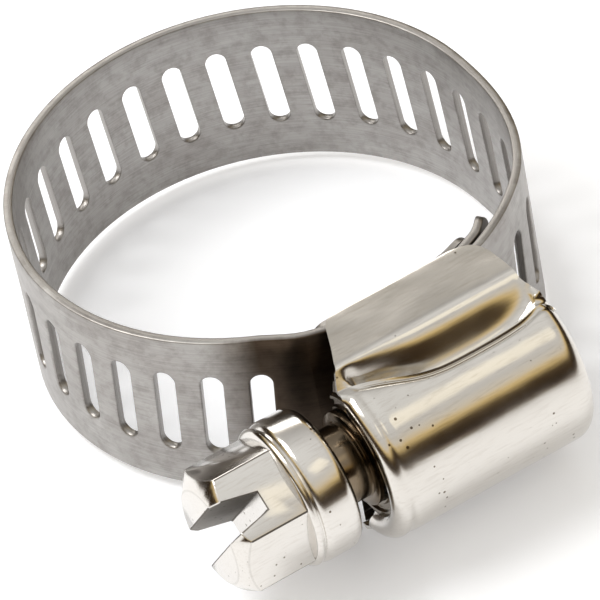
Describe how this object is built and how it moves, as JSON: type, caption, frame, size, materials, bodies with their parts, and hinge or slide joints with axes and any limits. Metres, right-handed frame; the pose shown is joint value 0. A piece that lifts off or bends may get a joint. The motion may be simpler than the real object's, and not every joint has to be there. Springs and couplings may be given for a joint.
{
  "type": "worm-drive hose clamp",
  "caption": "Worm-drive hose clamp: slotted steel band held by a pressed housing, tightened by a hex-head screw with a driver slot.",
  "frame": {"origin": "centre of the hose seat, at mid width of the band", "axes": "+Z along the hose; the housing is at -Y; the screw axis runs along X with the hex head towards -X"},
  "size_m": [0.0343, 0.0434, 0.0142],
  "materials": {
    "bright_cover": "bright nickel plate, lightly pitted",
    "bright_screw": "bright nickel plate",
    "band_steel": "rolled satin stainless steel"
  },
  "bodies": {
    "clamp_body": {"housing": "bright_cover", "saddle": "band_steel", "band_fixed_end": "band_steel"},
    "screw": {"screw": "bright_screw"},
    "link_1": {"band_link_1": "band_steel"},
    "link_2": {"band_link_2": "band_steel"},
    "link_3": {"band_link_3": "band_steel"},
    "link_4": {"band_link_4": "band_steel"},
    "link_5": {"band_link_5": "band_steel"},
    "link_6": {"band_link_6": "band_steel"},
    "link_7": {"band_link_7": "band_steel"},
    "link_8": {"band_link_8": "band_steel"},
    "free_end": {"band_free_end": "band_steel"}
  },
  "joints": [
    {"name": "screw_turn", "type": "hinge", "parent": "clamp_body", "child": "screw", "pos_m": [0, -0.021, 0], "axis": [1, 0, 0], "range_deg": [0, 900]},
    {"name": "band_bend_1", "type": "hinge", "parent": "clamp_body", "child": "link_1", "pos_m": [-0.00739, -0.01439, 0], "axis": [0, 0, 1], "range_deg": [-3.68, 0]},
    {"name": "band_bend_2", "type": "hinge", "parent": "link_1", "child": "link_2", "pos_m": [-0.01414, -0.00786, 0], "axis": [0, 0, 1], "range_deg": [-3.29, 0]},
    {"name": "band_bend_3", "type": "hinge", "parent": "link_2", "child": "link_3", "pos_m": [-0.01612, 0.00132, 0], "axis": [0, 0, 1], "range_deg": [-2.84, 0]},
    {"name": "band_bend_4", "type": "hinge", "parent": "link_3", "child": "link_4", "pos_m": [-0.01267, 0.01005, 0], "axis": [0, 0, 1], "range_deg": [-2.48, 0]},
    {"name": "band_bend_5", "type": "hinge", "parent": "link_4", "child": "link_5", "pos_m": [-0.00496, 0.0154, 0], "axis": [0, 0, 1], "range_deg": [-2.32, 0]},
    {"name": "band_bend_6", "type": "hinge", "parent": "link_5", "child": "link_6", "pos_m": [0.00443, 0.01556, 0], "axis": [0, 0, 1], "range_deg": [-2.4, 0]},
    {"name": "band_bend_7", "type": "hinge", "parent": "link_6", "child": "link_7", "pos_m": [0.01232, 0.01048, 0], "axis": [0, 0, 1], "range_deg": [-2.74, 0]},
    {"name": "band_bend_8", "type": "hinge", "parent": "link_7", "child": "link_8", "pos_m": [0.01607, 0.00187, 0], "axis": [0, 0, 1], "range_deg": [-3.18, 0]},
    {"name": "band_bend_9", "type": "hinge", "parent": "link_8", "child": "free_end", "pos_m": [0.01567, -0.00761, 0], "axis": [0, 0, 1], "range_deg": [-3.63, 0]}
  ],
  "couplings": [
    {"joint": "band_bend_1", "follows": "screw_turn", "ratio": -0.0040321},
    {"joint": "band_bend_2", "follows": "screw_turn", "ratio": -0.003597},
    {"joint": "band_bend_3", "follows": "screw_turn", "ratio": -0.0031038},
    {"joint": "band_bend_4", "follows": "screw_turn", "ratio": -0.0026977},
    {"joint": "band_bend_5", "follows": "screw_turn", "ratio": -0.0025237},
    {"joint": "band_bend_6", "follows": "screw_turn", "ratio": -0.0026107},
    {"joint": "band_bend_7", "follows": "screw_turn", "ratio": -0.0029878},
    {"joint": "band_bend_8", "follows": "screw_turn", "ratio": -0.0034809},
    {"joint": "band_bend_9", "follows": "screw_turn", "ratio": -0.0039741}
  ]
}
